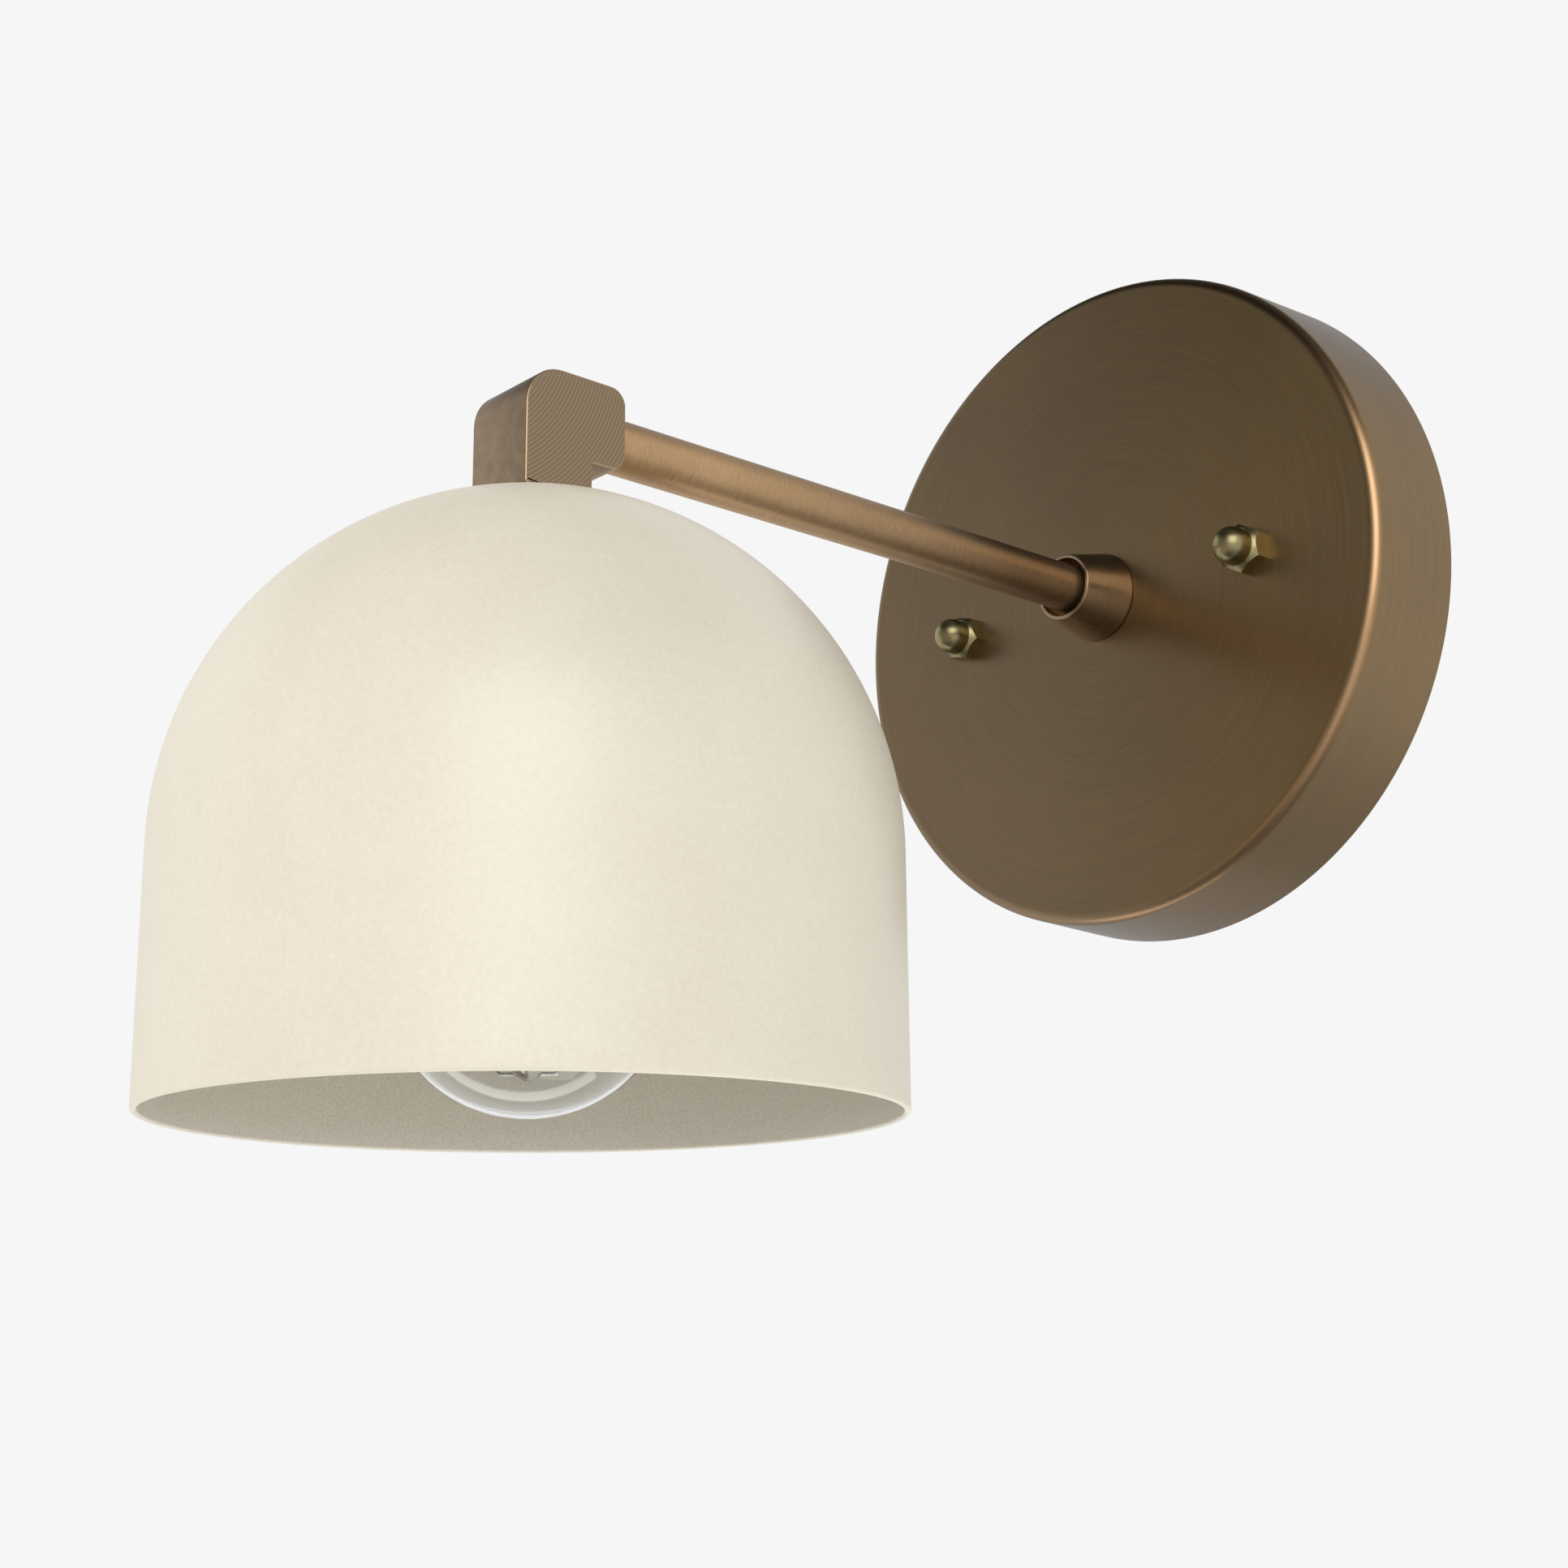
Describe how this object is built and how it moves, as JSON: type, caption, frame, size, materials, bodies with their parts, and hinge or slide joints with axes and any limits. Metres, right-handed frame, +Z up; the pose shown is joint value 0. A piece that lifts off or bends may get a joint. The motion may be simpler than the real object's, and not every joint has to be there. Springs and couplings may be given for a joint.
{
  "type": "dome wall sconce",
  "caption": "Wall light with a round brushed-brass canopy, straight arm, brass elbow block, cream dome shade and a clear screw-in globe lamp.",
  "frame": {"origin": "on the wall, at the centre of the canopy's back plane and on the arm's axis", "axes": "+Z up, +Y into the wall, -Y out into the room along the arm, +X to the right when facing the wall"},
  "size_m": [0.127, 0.2076, 0.1706],
  "materials": {
    "aged_brass": "brushed and aged",
    "milled_brass": "milled and aged",
    "nut_brass": "polished, aged",
    "plain_brass": "bright",
    "zinc_steel": "zinc plated",
    "green_paint": "green dye",
    "tinned_copper": "tinned",
    "bare_copper": "bare copper",
    "cream_powder_coat": "matte powder coat",
    "black_phenolic": "moulded",
    "white_porcelain": "glazed",
    "black_lead_jacket": "matte",
    "white_lead_jacket": "matte",
    "connector_plastic": "moulded",
    "clear_glass": "clear",
    "stem_glass": "clear",
    "filament_phosphor": "silicone phosphor",
    "nickel_wire": "drawn wire",
    "nickel_plate": "nickel plated",
    "black_glass": "vitreous",
    "circuit_board": "solder mask"
  },
  "bodies": {
    "fixture": {"canopy": "aged_brass", "mounting_plate": "zinc_steel", "fixture_studs": "zinc_steel", "stud_lock_nuts": "zinc_steel", "cap_nuts": "nut_brass", "earth_screw": "green_paint", "earth_lug": "tinned_copper", "earth_lead": "bare_copper", "arm_tube": "aged_brass", "arm_collar": "aged_brass", "canopy_lock_washer": "zinc_steel", "canopy_nut": "plain_brass", "elbow_block": "milled_brass", "shade_nipple": "zinc_steel", "shade": "cream_powder_coat", "shade_washer": "zinc_steel", "shade_nut": "plain_brass", "socket_cap": "black_phenolic", "socket_cap_screws": "zinc_steel", "socket_body": "white_porcelain", "socket_screw_shell": "plain_brass", "socket_centre_contact": "plain_brass", "socket_terminal_screws": "plain_brass", "live_lead": "black_lead_jacket", "neutral_lead": "white_lead_jacket", "wire_connectors": "connector_plastic"},
    "lamp_tip": {"lamp_base_contact": "nickel_plate"},
    "lamp": {"globe_glass": "clear_glass", "globe_stem": "stem_glass", "globe_filaments": "filament_phosphor", "filament_wires": "nickel_wire", "lamp_base_shell": "nickel_plate", "lamp_base_insulator": "black_glass", "lamp_driver": "circuit_board"}
  },
  "joints": [
    {"name": "lamp_travel", "type": "slide", "parent": "fixture", "child": "lamp_tip", "axis": [0, 0, -1], "range_m": [0, 0.01452]},
    {"name": "lamp_turn", "type": "hinge", "parent": "lamp_tip", "child": "lamp", "pos_m": [0, -0.1524, -0.06], "axis": [0, 0, -1], "range_deg": [0, 1440]}
  ],
  "couplings": [
    {"joint": "lamp_travel", "follows": "lamp_turn", "m_per_rad": 0.00057757}
  ]
}
